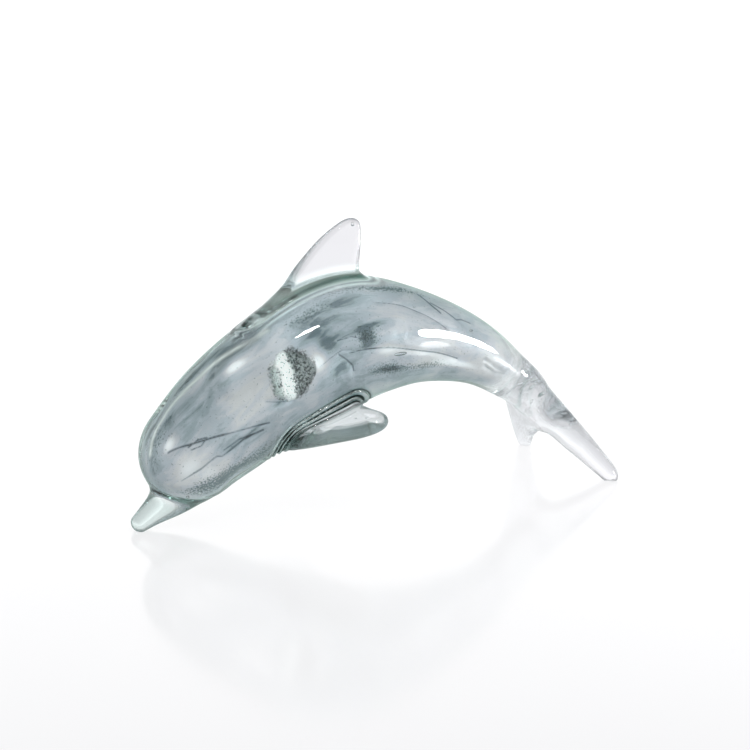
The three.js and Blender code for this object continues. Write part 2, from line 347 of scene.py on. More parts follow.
def ellipsoid_distance(*terms):
    """Near-distance to the surface where the terms' squares sum to 1.

    A term is (offset, radius), or (share of the radius, radius, 1)."""
    total = 0
    steep = 0
    for term in terms:
        radius = term[1]
        share = term[0] if len(term) == 3 else term[0] / radius
        total = total + share ** 2
        steep = steep + (share / radius) ** 2
    rho = np.sqrt(total) + 1e-6
    return (rho - 1) * rho / (np.sqrt(steep) + 1e-6)


def outline_distance(a, b, outline):
    """Signed distance of the points (a, b) to a closed outline, negative inside."""
    nearest = np.full(np.broadcast(a, b).shape, 1e9)
    inside = np.zeros(nearest.shape, bool)
    for start, end in zip(outline, np.roll(outline, -1, axis=0)):
        edge = end - start
        da = a - start[0]
        db = b - start[1]
        along = np.clip((da * edge[0] + db * edge[1]) / (edge @ edge), 0, 1)
        nearest = np.minimum(nearest, (da - along * edge[0]) ** 2 + (db - along * edge[1]) ** 2)
        crosses = (start[1] > b) != (end[1] > b)
        left = da < edge[0] * db / (edge[1] if edge[1] else 1e-9)
        inside ^= crosses & left
    return np.where(inside, -1, 1) * np.sqrt(nearest)


class Fin:
    """A plate of an outline in the plane of chord and out, with a round edge.

    Its half thickness is given at the root, further out and at the tip."""

    REACH = 16  # how far from the fin its distance is worked out
    STATIONS = (0, 0.65, 1)  # shares of the way out where its half thickness is given

    def __init__(self, origin, chord, out, outline, half, edge):
        self.origin = np.asarray(origin, float)
        chord = np.asarray(chord, float) / np.linalg.norm(chord)
        out = np.asarray(out, float) / np.linalg.norm(out)
        self.axes = np.stack([chord, out, np.cross(chord, out)])
        self.outline = closed_outline(outline)
        self.half = cubic_spline(self.STATIONS, [[size] for size in half])
        self.edge = edge
        plane = self.origin + self.outline @ self.axes[:2]
        self.low = plane.min(0) - max(half) - self.REACH
        self.high = plane.max(0) + max(half) + self.REACH

    def distance(self, x, y, z):
        x, y, z = np.broadcast_arrays(x, y, z)
        near = np.ones(x.shape, bool)
        for value, low, high in zip((x, y, z), self.low, self.high):
            near &= (value > low) & (value < high)
        place = (np.stack([x[near], y[near], z[near]], 1) - self.origin) @ self.axes.T
        edge = outline_distance(place[:, 0], place[:, 1], self.outline)
        out = place[:, 1]
        share = np.clip((out - self.outline[:, 1].min()) / np.ptp(self.outline[:, 1]), 0, 1)
        half = self.half(share)[:, 0]
        rounding = np.maximum(0, 1 + edge / self.edge)
        found = np.full(x.shape, float(self.REACH))
        found[near] = ellipsoid_distance((rounding, self.edge, 1), (place[:, 2], half))
        return found


def fuse(a, b, width):
    """The smaller of two distances, with a fillet of that width between them."""
    blend = np.maximum(width - np.abs(a - b), 0) / width
    return np.minimum(a, b) - blend ** 3 * width / 6


body = Sweep(BODY, HEAD_ROUND, STOCK_ROUND)
beak = Sweep(BEAK, BEAK_ROOT_ROUND, BEAK_TIP_ROUND)
dorsal = Fin(outline=DORSAL_OUTLINE, **DORSAL)
pectoral = Fin(outline=PECTORAL_OUTLINE, **PECTORAL)
fluke_left = Fin(outline=FLUKE_OUTLINE, **FLUKE, **FLUKE_LEFT)
fluke_right = Fin(outline=FLUKE_OUTLINE, **FLUKE, **FLUKE_RIGHT)

PIECES = [
    "clear_casing", "tail_stock", "beak", "dorsal_fin",
    "pectoral_fin_left", "pectoral_fin_right", "fluke_left", "fluke_right",
]


def bits(x, y, z):
    """Distances of the body and of each applied bit, on its own."""
    side = -np.abs(y)
    return {
        "body": body.distance(x, y, z),
        "beak": beak.distance(x, y, z),
        "dorsal": dorsal.distance(x, y, z),
        "pectoral": pectoral.distance(x, side, z),
        "fluke": fuse(fluke_left.distance(x, y, z), fluke_right.distance(x, -y, z), NOTCH_FUSE),
    }


def joined_bits(x, y, z):
    """Distance to the whole fused surface, and the darkness of the shade painted between the ridges along its
    joints.
    """
    found = bits(x, y, z)
    whole = found["body"]
    smoke = 0
    closeness = RIDGES_SHARE + (1 - RIDGES_SHARE) * smoothstep(x, RIDGES_CLOSE_AT, RIDGES_OPEN_AT)
    for name, (width, height, spacing, reach, darkness) in JOINTS.items():
        across = (whole - found[name] + RIDGES_SHIFT) / closeness
        ridge = np.cos(2 * np.pi * across / spacing)
        fading = np.exp(-(across / reach) ** 2) * smoothstep(found[name], *RIDGES_FADE)
        whole = fuse(whole, found[name], width) + height * ridge * fading
        # Painted shade: dark lines between the ridges along each joint.
        smoke = smoke + darkness * fading * (0.5 + 0.5 * ridge) ** 2
    return whole, smoke


def stain_and_painted_shade(points):
    """How dark the glass is at each point of the surface, from 0 to 1: the smoke that stains the beak, and
    the shade painted between the joints' ridges and in the corner at the front of each pectoral joint.
    """
    x, y, z = points.T
    found = bits(x, y, z)
    # Painted shade between the ridges of the joints.
    _, ridge_shade = joined_bits(x, y, z)
    stain = smoothstep(found["body"], 0, STAIN_BLEND) * smoothstep(found["beak"], STAIN_BLEND, 0)
    # Painted shade in the corner at the front of each pectoral joint.
    corner = np.stack([x, -np.abs(y), z], 1) - SHADED_CORNER
    gathered = np.exp(-(corner ** 2).sum(1) / SHADED_CORNER_RADIUS ** 2)
    return np.clip(ridge_shade + BEAK_STAIN * stain + SHADED_CORNER_SHARE * gathered, 0, 1)


def gathered_light(points):
    """How much studio light the glass gathers at each point: in bands round the dorsal fin's root, and
    over the pectoral fins."""
    found = bits(*points.T)
    inward = LIT_BANDS_REACH - found["dorsal"]
    bands = LIT_BANDS_MEAN + LIT_BANDS_SWING * np.cos(2 * np.pi * inward / LIT_BANDS_SPACING)
    bands = bands * smoothstep(inward, -LIT_BANDS_SPACING / 2, 0) * smoothstep(found["body"], *LIT_BANDS_OFF_BODY)
    bands = bands * smoothstep(points[:, 0], *LIT_BANDS_FADE)
    fins = smoothstep(found["body"], *FIN_GLOW_OFF_BODY)
    fins = fins * smoothstep(found["pectoral"], *FIN_GLOW_OFF_FIN)
    return np.maximum(bands, FIN_GLOW * fins)


def outside(x, y, z):
    """Distance to the whole fused surface, cut flat where it stands."""
    return np.maximum(joined_bits(x, y, z)[0], -z)


def piece_of(points):
    """Which of PIECES each point of the surface belongs to."""
    x, y, z = points.T
    found = bits(x, y, z)
    at, _ = body.spine(x, z)
    left = y < 0
    near = np.stack([found[name] for name in ("body", "beak", "dorsal", "pectoral", "fluke")]).argmin(0)
    choices = [
        np.where(at < SEAM_AT, 0, 1), np.full(len(x), 2), np.full(len(x), 3),
        np.where(left, 4, 5), np.where(left, 6, 7),
    ]
    return np.choose(near, choices)


# ---------- Meshes ----------


def polygonize(distance, low, high, voxel):
    """Vertices and faces of the surface where distance is 0, in a box."""
    low = np.asarray(low, float) - PAD
    high = np.asarray(high, float) + PAD
    counts = np.ceil((high - low) / voxel).astype(int)
    axes = [low[i] + voxel * np.arange(counts[i]) for i in range(3)]
    x = axes[0][:, None, None]
    y = axes[1][None, :, None]
    z = axes[2][None, None, :]
    values = np.clip(distance(x, y, z), -3 * voxel, 3 * voxel).astype(np.float32)
    grid = openvdb.FloatGrid(3 * voxel)
    grid.copyFromArray(np.ascontiguousarray(values))
    points, triangles, quads = grid.convertToPolygons(0.0, 0.0)
    points = points * voxel + low
    return points, triangles, quads


def gradient(distance, points, here, step=0.02):
    """How the distance, which is here at the points, changes along x, y and z."""
    return np.stack([(distance(*(points + shift).T) - here) / step for shift in np.eye(3) * step], 1)


def settle(distance, points, voxel):
    """The points moved onto the surface, and the surface's normals there."""
    here = distance(*points.T)
    slope = gradient(distance, points, here)
    move = slope * (here / np.maximum((slope ** 2).sum(1), 0.2))[:, None]
    points = points - np.clip(move, -voxel, voxel)
    slope = gradient(distance, points, distance(*points.T))
    return points, slope / np.linalg.norm(slope, axis=1)[:, None]


def border_links(quads, labels):
    """Edges between faces of different labels, as pairs of vertices."""
    edges = np.sort(np.concatenate([quads[:, [i, (i + 1) % 4]] for i in range(4)]), axis=1)
    owner = np.tile(labels, 4)
    unique, which = np.unique(edges, axis=0, return_inverse=True)
    which = which.ravel()
    least = np.full(len(unique), 99)
    most = np.full(len(unique), -1)
    np.minimum.at(least, which, owner)
    np.maximum.at(most, which, owner)
    return unique[least != most]


def smooth_borders(points, links, rounds=12):
    """The points with those on the links drawn into smooth lines."""
    ends = np.concatenate([links, links[:, ::-1]])
    on_line = np.unique(links)
    for _ in range(rounds):
        total = np.zeros_like(points)
        count = np.zeros(len(points))
        np.add.at(total, ends[:, 0], points[ends[:, 1]])
        np.add.at(count, ends[:, 0], 1)
        points = points.copy()
        points[on_line] = 0.5 * points[on_line] + 0.5 * total[on_line] / count[on_line, None]
    return points


def make_piece(name, points, faces, normals=None, close=False):
    """A mesh object of points in millimetres. Holes are closed with faces marked as fused joints."""
    mesh = bpy.data.meshes.new(name)
    mesh.from_pydata(points * MM, [], [list(face) for face in faces])
    shaped = bmesh.new()
    shaped.from_mesh(mesh)
    joint = shaped.faces.layers.float.new("fused_joint")
    if close:
        rims = [edge for edge in shaped.edges if edge.is_boundary]
        caps = bmesh.ops.holes_fill(shaped, edges=rims, sides=0)["faces"]
        for face in caps:
            face[joint] = 1
        bmesh.ops.triangulate(shaped, faces=caps)
    for face in shaped.faces:
        face.smooth = face[joint] == 0
    shaped.to_mesh(mesh)
    shaped.free()
    if normals is not None:
        mesh.normals_split_custom_set_from_vertices(normals)
    piece = bpy.data.objects.new(name, mesh)
    bpy.context.scene.collection.objects.link(piece)
    return piece


def bubble(middle, half_length, half_thickness, steps=10):
    """Points, quads and normals of a bubble's wall, which faces in, away from the glass."""
    line = np.tan(np.linspace(-np.pi / 4, np.pi / 4, steps + 1))
    u, v = (grid.ravel() for grid in np.meshgrid(line, line, indexing="ij"))
    flat = np.ones_like(u)
    sides = [(u, v, flat), (v, u, -flat), (flat, u, v), (-flat, v, u), (v, flat, u), (u, -flat, v)]
    round_points = np.concatenate([np.stack(side, 1) for side in sides])
    round_points /= np.linalg.norm(round_points, axis=1)[:, None]
    corner = (np.arange(steps)[:, None] * (steps + 1) + np.arange(steps)).ravel()
    quad = np.stack([corner, corner + 1, corner + steps + 2, corner + steps + 1], 1)
    quads = np.concatenate([quad + side * len(u) for side in range(len(sides))])
    _, first, merged = np.unique(round_points.round(6), axis=0, return_index=True, return_inverse=True)
    radii = np.array([half_length, half_thickness, half_thickness])
    normals = -round_points[first] / radii
    points = np.asarray(middle, float) + round_points[first] * radii
    return points, merged.ravel()[quads], normals / np.linalg.norm(normals, axis=1)[:, None]


def bubbles_by_piece():
    """The bubbles' walls, listed under the piece of glass that each one is in."""
    found = {name: [] for name in PIECES}
    owners = piece_of(np.array([row[:3] for row in BUBBLES], float))
    for owner, (*middle, half_length, half_thickness) in zip(owners, BUBBLES):
        found[PIECES[owner]].append(bubble(middle, half_length, half_thickness))
    return found


def drawn_share(points):
    """How far each point of the surface is into the drawn-out bits: 0 on the head, 1 on a fin."""
    found = bits(*points.T)
    at, _ = body.spine(points[:, 0], points[:, 2])
    off_beak = BEAK_DRAWN + (1 - BEAK_DRAWN) * smoothstep(found["beak"], *DRAWN_OFF_BEAK)
    fins = smoothstep(found["body"], *DRAWN_OFF_BODY) * off_beak
    dorsal_root = smoothstep(found["dorsal"], *DORSAL_ROOT)
    stock = smoothstep(at, SEAM_AT - STOCK_FADE, SEAM_AT)
    return np.max([fins, dorsal_root, stock], axis=0)


def set_attribute(piece, name, values):
    """A number or a vector at each point of the piece, for its material."""
    values = np.asarray(values, np.float32)
    kind, key = ("FLOAT", "value") if values.ndim == 1 else ("FLOAT_VECTOR", "vector")
    piece.data.attributes.new(name, kind, "POINT").data.foreach_set(key, values.ravel())


def fused_pieces():
    """The outside surface, split into one closed piece for each bit of glass, with its bubbles."""
    points, _, quads = polygonize(outside, *OUTSIDE_BOX, VOXEL)
    quads = quads[:, ::-1] if faces_inward(points, quads) else quads
    labels = piece_of(points[quads].mean(1))
    points = smooth_borders(points, border_links(quads, labels))
    points, normals = settle(outside, points, VOXEL)
    marks = {"drawn": drawn_share(points), "smoke": stain_and_painted_shade(points), "glow": gathered_light(points)}
    bubbles = bubbles_by_piece()
    made = {}
    for index, name in enumerate(PIECES):
        faces = quads[labels == index]
        used, local = np.unique(faces, return_inverse=True)
        all_points = [points[used]]
        all_faces = [local.reshape(-1, 4)]
        all_normals = [normals[used]]
        for wall, wall_faces, wall_normals in bubbles[name]:
            all_faces.append(wall_faces + sum(len(part) for part in all_points))
            all_points.append(wall)
            all_normals.append(wall_normals)
        piece = make_piece(
            name + "_glass", np.concatenate(all_points), np.concatenate(all_faces),
            np.concatenate(all_normals), close=True,
        )
        walls = np.zeros(len(piece.data.vertices) - len(used))
        for mark, values in marks.items():
            set_attribute(piece, mark, np.concatenate([values[used], walls]))
        made[name] = piece
    return made


def faces_inward(points, quads):
    corners = points[quads]
    normal = np.cross(corners[:, 1] - corners[:, 0], corners[:, 2] - corners[:, 0])
    return (normal * (corners[:, 0] - points.mean(0))).sum() < 0


# ---------- Inner layers ----------


gather_share = cubic_spline([at for at, _ in GATHER_SHARE], [[share] for _, share in GATHER_SHARE])


def cloudiness(at, turn, clouds):
    """Sum of the soft clouds at each distance along the spine and turn round it, in degrees."""
    total = np.zeros(np.broadcast(at, turn).shape)
    for middle, middle_turn, half_length, half_turn, strength in clouds:
        away = (turn - middle_turn + 180) % 360 - 180
        total += strength * np.exp(-((at - middle) / half_length) ** 2 - (away / half_turn) ** 2)
    return total


def line_distance(at, turn, girth, line):
    """Distance over the veil to a line through (along, turn), at points with that girth."""
    nearest = np.full(np.broadcast(at, turn).shape, 1e9)
    for start, end in zip(line, line[1:]):
        edge_at = end[0] - start[0]
        edge_arc = np.radians(end[1] - start[1]) * girth
        to_at = at - start[0]
        to_arc = np.radians(turn - start[1]) * girth
        share = np.clip((to_at * edge_at + to_arc * edge_arc) / (edge_at ** 2 + edge_arc ** 2), 0, 1)
        nearest = np.minimum(nearest, (to_at - share * edge_at) ** 2 + (to_arc - share * edge_arc) ** 2)
    return np.sqrt(nearest)


def fold_distance(at, turn, girth):
    """Distance to the nearest fold, in multiples of the fold's width."""
    return np.min([line_distance(at, turn, girth, line) / width for width, line in FOLDS], axis=0)


def layer(x, y, z, grow=0.0, creased=True):
    """Distance to the surface of the inner gather, that much larger all round, with its soft folds."""
    at, out = body.spine(x, z)
    depth, width = body.sections(at)
    share = gather_share(at)[..., 0]
    turn = np.arctan2(y, out)
    folds = 0.7 * np.sin(at / 9 + 2 * turn) + 0.5 * np.sin(at / 5.3 - 3 * turn + 1)
    grow = grow + folds * share
    if creased:
        away = fold_distance(at, np.degrees(turn), width * share)
        grow = grow - FOLD_DEPTH * np.exp(-(away / FOLD_WIDTH) ** 2)
    front = np.maximum(0, 1 - (at - GATHER_FRONT) / GATHER_FRONT_ROUND)
    back = np.maximum(0, 1 - (GATHER_END - at) / GATHER_END_ROUND)
    return ellipsoid_distance(
        (out, depth * share + grow), (y, width * share + grow),
        (front, GATHER_FRONT_ROUND, 1), (back, GATHER_END_ROUND, 1),
    )


def layer_surface(grow, voxel=VOXEL):
    """Points and outward quads of the inner gather's surface, that much larger all round."""

    def smooth(x, y, z):
        return layer(x, y, z, grow, creased=False)

    def creased(x, y, z):
        return layer(x, y, z, grow)

    points, _, quads = polygonize(smooth, *LAYERS_BOX, voxel)
    quads = quads[:, ::-1] if faces_inward(points, quads) else quads
    points, _ = settle(creased, points, 1)
    return points, quads


def layer_piece(name, *surfaces):
    """A piece between nested surfaces: the first faces out and the rest face in. Its points carry flow,
    their place in metres if the gather were straight, and the strength of the marks on it."""
    points = np.concatenate([points for points, _ in surfaces])
    quads = []
    offset = 0
    for index, (part, faces) in enumerate(surfaces):
        quads.append((faces[:, ::-1] if index else faces) + offset)
        offset += len(part)
    piece = make_piece(name, points, np.concatenate(quads))
    at, out = body.spine(points[:, 0], points[:, 2])
    turn = np.degrees(np.arctan2(points[:, 1], out))
    _, width = body.sections(at)
    girth = width * gather_share(at)[:, 0]
    gleam = np.min([line_distance(at, turn, girth, line) for line in GLEAMS], axis=0)
    set_attribute(piece, "flow", np.stack([at, out, points[:, 1]], 1) * MM)
    set_attribute(piece, "cloud", cloudiness(at, turn, CLOUDS_AND_GLINTS))
    set_attribute(piece, "dust", cloudiness(at, turn, DUST))
    set_attribute(piece, "fold", fold_distance(at, turn, girth))
    set_attribute(piece, "gleam", np.exp(-(gleam / GLEAM_WIDTH) ** 2))
    set_attribute(piece, "cover", 1 - smoothstep(at, VEIL_FADES_FROM, VEIL_FADES_TO))
    return piece


def on_layer(at, turn, grow):
    """Points of the layer's surface at distances along the spine and turns round it, in degrees."""
    x = np.interp(at, body.travel, body.points[:, 0])
    z = np.interp(at, body.travel, body.points[:, 1])
    along_x = np.interp(at, body.travel, body.along[:, 0])
    along_z = np.interp(at, body.travel, body.along[:, 1])
    depth, width = body.sections(at)
    share = gather_share(at)[..., 0]
    out = (depth * share + grow) * np.cos(np.radians(turn))
    side = (width * share + grow) * np.sin(np.radians(turn))
    points = np.stack([x - along_z * out, side, z + along_x * out], 1)
    for _ in range(3):
        points, _ = settle(lambda px, py, pz: layer(px, py, pz, grow, creased=False), points, 1)
    return points


def silver_leaf_piece(rings=16, spokes=96):
    """A thin oval plate lying on the veil."""
    angle = np.arange(spokes) * 2 * np.pi / spokes
    radius = np.arange(1, rings + 1) / rings
    ragged = 1 + 0.03 * np.sin(5 * angle) + 0.02 * np.sin(11 * angle + 2)
    across = np.concatenate([[0], np.outer(radius, np.cos(angle) * ragged).ravel()])
    around = np.concatenate([[0], np.outer(radius, np.sin(angle) * ragged).ravel()])
    at = LEAF_MIDDLE[0] + across * LEAF_ALONG[0] + around * LEAF_ROUND[0]
    turn = LEAF_MIDDLE[1] + across * LEAF_ALONG[1] + around * LEAF_ROUND[1]
    count = len(at)
    points = np.concatenate([on_layer(at, turn, 0.9), on_layer(at, turn, 0.5)])
    spoke = np.arange(spokes)
    after = (spoke + 1) % spokes
    top = [(0, 1 + i, 1 + j) for i, j in zip(spoke, after)]
    for ring in range(rings - 1):
        inner = 1 + ring * spokes
        outer = inner + spokes
        top += [(inner + i, outer + i, outer + j, inner + j) for i, j in zip(spoke, after)]
    rim = 1 + (rings - 1) * spokes
    bottom = [tuple(count + corner for corner in reversed(face)) for face in top]
    wall = [(rim + i, count + rim + i, count + rim + j, rim + j) for i, j in zip(spoke, after)]
    piece = make_piece("silver_leaf_glint", points, top + bottom + wall)
    set_attribute(piece, "across", np.tile(across, 2))
    set_attribute(piece, "around", np.tile(around, 2))
    set_attribute(piece, "rim", np.tile(np.hypot(across, around), 2))
    return piece


# ---------- Materials ----------

THICK_IOR = 1.5
THIN_IOR = 1.22
THIN_SHARE = 0.6  # of the thin glass in the drawn-out bits


class Shader:
    """A material's node tree, with nodes made and joined by name."""

    def __init__(self, name):
        self.material = bpy.data.materials.new(name)
        self.material.use_nodes = True
        self.tree = self.material.node_tree
        self.tree.nodes.clear()
        self.output = self.tree.nodes.new("ShaderNodeOutputMaterial")

    def node(self, kind, inputs=None, **settings):
        made = self.tree.nodes.new("ShaderNode" + kind)
        for key, value in settings.items():
            setattr(made, key, value)
        for key, value in (inputs or {}).items():
            if isinstance(value, bpy.types.NodeSocket):
                self.tree.links.new(value, made.inputs[key])
            else:
                made.inputs[key].default_value = value
        return made

    def surface(self, socket):
        self.tree.links.new(socket, self.output.inputs["Surface"])

    def volume(self, socket):
        self.tree.links.new(socket, self.output.inputs["Volume"])

    def math(self, operation, *values):
        return self.node("Math", dict(enumerate(values)), operation=operation).outputs[0]

    def ramp(self, value, *stops, ease="EASE"):
        """A colour ramp through (position, colour) stops."""
        made = self.node("ValToRGB", {"Fac": value})
        made.color_ramp.interpolation = ease
        elements = made.color_ramp.elements
        while len(elements) < len(stops):
            elements.new(0.5)
        for element, (position, colour) in zip(elements, stops):
            element.position = position
            element.color = (*colour, 1)
        return made.outputs["Color"]

    def noise(self, vector, scale, detail=3.0, distortion=0.0, roughness=0.5):
        return self.node("TexNoise", {
            "Vector": vector, "Scale": scale, "Detail": detail,
            "Roughness": roughness, "Distortion": distortion,
        }).outputs["Fac"]

    def attribute(self, name, output="Fac"):
        return self.node("Attribute", attribute_name=name, attribute_type="GEOMETRY").outputs[output]

    def stretched(self, name, scale):
        """The named point attribute as a vector, scaled unevenly."""
        vector = self.attribute(name, "Vector")
        return self.node("VectorMath", {0: vector, 1: scale}, operation="MULTIPLY").outputs[0]

    def mixed(self, blend, a, b, share=1.0):
        made = self.node("Mix", {0: share, 6: a, 7: b}, data_type="RGBA", blend_type=blend)
        return made.outputs[2]


def clear_glass():
    """Pale green glass that darkens at its rims. Drawn out thin it bends light less. It darkens where smoke
    stains it and where shade is painted at the joints. It glows a little where it gathers the studio light:
    painted light."""
    shader = Shader("clear_glass")
    place = shader.node("TexCoord").outputs["Object"]
    sway = shader.noise(place, 22.0, detail=1.0)
    bump = shader.node("Bump", {"Strength": 0.12, "Distance": 0.002, "Height": sway}).outputs[0]
    facing = shader.node("LayerWeight", {"Blend": 0.5}).outputs["Facing"]
    thick_rim = shader.ramp(
        facing, (0.35, (1, 1, 1)), (0.62, (0.87, 0.93, 0.91)), (0.84, (0.66, 0.77, 0.73)),
        (1.0, (0.30, 0.39, 0.36)), ease="LINEAR",
    )
    thin_rim = shader.ramp(
        facing, (0.5, (1, 1, 1)), (0.8, (0.96, 0.98, 0.975)), (0.94, (0.86, 0.905, 0.89)),
        (1.0, (0.30, 0.36, 0.34)), ease="LINEAR",
    )
    drawn = shader.attribute("drawn")
    rim = shader.mixed("MIX", thick_rim, thin_rim, drawn)
    tint = shader.ramp(drawn, (0.0, (0.965, 0.97, 0.97)), (1.0, (0.91, 0.905, 0.92)))
    # Darkened by the smoke mark: the smoke stain of the beak, and painted shade between the joints' ridges
    # and in the corner at the front of each pectoral joint.
    smoke = shader.ramp(
        shader.attribute("smoke"), (0.0, (1, 1, 1)), (0.25, (0.86, 0.905, 0.895)),
        (0.65, (0.05, 0.065, 0.06)),
    )
    tint = shader.mixed("MULTIPLY", shader.mixed("MULTIPLY", tint, rim), smoke)
    thick, thin = (
        shader.node("BsdfGlass", {"Color": tint, "Roughness": 0.0, "IOR": ior, "Normal": bump}).outputs[0]
        for ior in (THICK_IOR, THIN_IOR)
    )
    share = shader.math("MULTIPLY", drawn, THIN_SHARE)
    glass = shader.node("MixShader", {0: share, 1: thick, 2: thin}).outputs[0]
    # Painted light: a glow in bands round the dorsal fin's root and over the pectoral fins.
    gathered = shader.attribute("glow")
    glow = shader.ramp(gathered, (0.0, (0, 0, 0)), (1.0, (0.27, 0.32, 0.305)), ease="LINEAR")
    lit = shader.node("Emission", {"Color": glow, "Strength": 1.0}).outputs[0]
    glass = shader.node("AddShader", {0: glass, 1: lit}).outputs[0]
    joint = shader.attribute("fused_joint")
    through = shader.node("BsdfTransparent").outputs[0]
    shader.surface(shader.node("MixShader", {0: joint, 1: glass, 2: through}).outputs[0])
    green = {"Color": (0.60, 0.715, 0.69, 1), "Density": 13.0}
    shader.volume(shader.node("VolumeAbsorption", green).outputs[0])
    return shader.material


def smoky_veil():
    """Smoke-coloured powder glass: soft clouds, dark folds and a dust of specks, all fused in, with painted
    highlights among the clouds and in bright lines.

    The brightest clouds and the bright lines glow a little, painted light for the studio light that the
    casing focuses on them."""
    shader = Shader("smoky_veil")
    cloud = shader.attribute("cloud")
    drift = shader.noise(shader.stretched("flow", (22, 34, 34)), 1.0, detail=4.0, distortion=0.8)
    streaks = shader.stretched("flow", (38, 150, 150))
    wisps = shader.noise(streaks, 1.0, detail=5.0, distortion=1.5, roughness=0.6)
    tone = shader.math("MULTIPLY_ADD", cloud, 0.30, shader.math("MULTIPLY", drift, 1.5))
    tone = shader.math("MULTIPLY_ADD", wisps, 0.9, shader.math("SUBTRACT", tone, 0.64))
    smoke = shader.ramp(
        tone, (0.10, (0.155, 0.22, 0.25)), (0.325, (0.43, 0.52, 0.57)), (0.50, (0.67, 0.75, 0.82)),
        (0.70, (0.87, 0.905, 0.965)), (0.90, (0.97, 0.98, 1.0)),
    )
    fold = shader.math("SUBTRACT", shader.attribute("fold"), 0.9)
    waver = shader.math("MULTIPLY_ADD", drift, 1.8, fold)
    crease = shader.ramp(
        waver, (0.0, (0.10, 0.12, 0.13)), (0.25, (0.40, 0.44, 0.47)), (0.5, (0.78, 0.82, 0.84)),
        (0.8, (1, 1, 1)),
    )
    specks = shader.noise(shader.stretched("flow", (1200, 1200, 1200)), 1.0, detail=1.0)
    peppered = shader.math("MULTIPLY_ADD", shader.attribute("dust"), 0.30, specks)
    dust = shader.ramp(peppered, (0.66, (1, 1, 1)), (0.80, (0.32, 0.40, 0.39)))
    colour = shader.mixed("MULTIPLY", shader.mixed("MULTIPLY", smoke, crease), dust)
    # Painted highlight lines: the gleam mark mixes in a pale green-white.
    gleam = shader.math("MULTIPLY", shader.attribute("gleam"), shader.math("MULTIPLY", wisps, 1.9))
    colour = shader.mixed("MIX", colour, (0.93, 1.0, 0.97, 1), gleam)
    cover = shader.ramp(tone, (0.3, (0.97,) * 3), (0.6, (0.80,) * 3))
    cover = shader.math("MULTIPLY", cover, shader.attribute("cover"))
    height = shader.noise(shader.stretched("flow", (55, 80, 80)), 1.0, detail=3.0, distortion=0.5)
    bump = shader.node("Bump", {"Strength": 0.6, "Distance": 0.002, "Height": height}).outputs[0]
    # Painted light: the brightest clouds and the highlight lines glow.
    spot = shader.math("MULTIPLY_ADD", cloud, 0.5, shader.math("MULTIPLY", gleam, 0.9))
    glow = shader.ramp(spot, (0.45, (0, 0, 0)), (1.0, (0.30, 0.33, 0.34)), ease="LINEAR")
    shader.surface(shader.node("BsdfPrincipled", {
        "Base Color": colour, "Metallic": 0.25, "Roughness": 0.36, "Alpha": cover, "Normal": bump,
        "Emission Color": glow, "Emission Strength": 1.0,
    }).outputs[0])
    return shader.material


def silver_leaf():
    """Broken silver leaf: white in a painted highlight band across it, blackened where it creased, and
    pricked all over.

    That band also glows a little, painted light for the studio light that the casing focuses on it."""
    shader = Shader("silver_leaf")
    place = shader.node("TexCoord").outputs["Object"]
    grain = shader.noise(place, 800.0, detail=2.0, roughness=0.7)
    cloud = shader.noise(place, 110.0, detail=4.0, roughness=0.6)
    across = shader.math("MULTIPLY_ADD", shader.attribute("across"), 0.5, 0.5)
    across = shader.math("MULTIPLY_ADD", cloud, 0.34, shader.math("SUBTRACT", across, 0.17))
    across = shader.math("MULTIPLY_ADD", shader.attribute("around"), 0.16, across)
    # The white stretch of this band is a painted highlight; the grey and pale green stretches are the leaf's
    # tone.
    tone_and_highlight = shader.ramp(
        across, (0.0, (0.66, 0.77, 0.75)), (0.16, (0.80, 0.90, 0.88)), (0.28, (1.0, 1.0, 1.0)),
        (0.44, (1.0, 1.0, 1.0)), (0.58, (0.46, 0.52, 0.52)), (0.84, (0.38, 0.43, 0.43)),
        (1.0, (0.75, 0.82, 0.83)),
    )
    blackened = shader.ramp(
        across, (0.0, (0.04,) * 3), (0.26, (0.0,) * 3), (0.42, (0.0,) * 3), (0.58, (0.13,) * 3),
        (0.86, (0.10,) * 3), (1.0, (0.0,) * 3),
    )
    pricked = shader.math("SUBTRACT", grain, blackened)
    pricks = shader.ramp(
        pricked, (0.32, (0.10, 0.12, 0.12)), (0.46, (0.85, 0.88, 0.88)), (0.6, (1.0, 1.0, 1.0)),
    )
    bump = shader.node("Bump", {"Strength": 0.7, "Distance": 0.0006, "Height": grain}).outputs[0]
    # Painted light: the highlight band glows.
    gleam = shader.ramp(
        across, (0.20, (0, 0, 0)), (0.33, (0.36, 0.39, 0.38)), (0.42, (0.32, 0.35, 0.34)),
        (0.54, (0, 0, 0)),
    )
    ragged = shader.math("MULTIPLY_ADD", grain, 0.45, shader.attribute("rim"))
    ragged = shader.math("SUBTRACT", shader.math("MULTIPLY_ADD", cloud, 0.7, ragged), 0.8)
    shader.surface(shader.node("BsdfPrincipled", {
        "Base Color": shader.mixed("MULTIPLY", tone_and_highlight, pricks), "Metallic": 0.5, "Roughness": 0.45,
        "Normal": bump, "Alpha": shader.ramp(ragged, (0.48, (1, 1, 1)), (0.80, (0, 0, 0))),
        "Emission Color": shader.mixed("MULTIPLY", gleam, pricks), "Emission Strength": 1.0,
    }).outputs[0])
    return shader.material


def core_smoke():
    """Faint wisps of smoke that clear up where the veil fades out."""
    shader = Shader("core_smoke")
    drawn_out = shader.stretched("flow", (45, 110, 110))
    wisp = shader.noise(drawn_out, 1.0, detail=6.0, distortion=1.2, roughness=0.65)
    tint = shader.ramp(wisp, (0.3, (0.62, 0.67, 0.70)), (0.6, (0.93, 0.95, 0.96)))
    tint = shader.mixed("MIX", (0.99, 0.99, 0.99, 1), tint, shader.attribute("cover"))
    shader.surface(shader.node("BsdfTransparent", {"Color": tint}).outputs[0])
    return shader.material


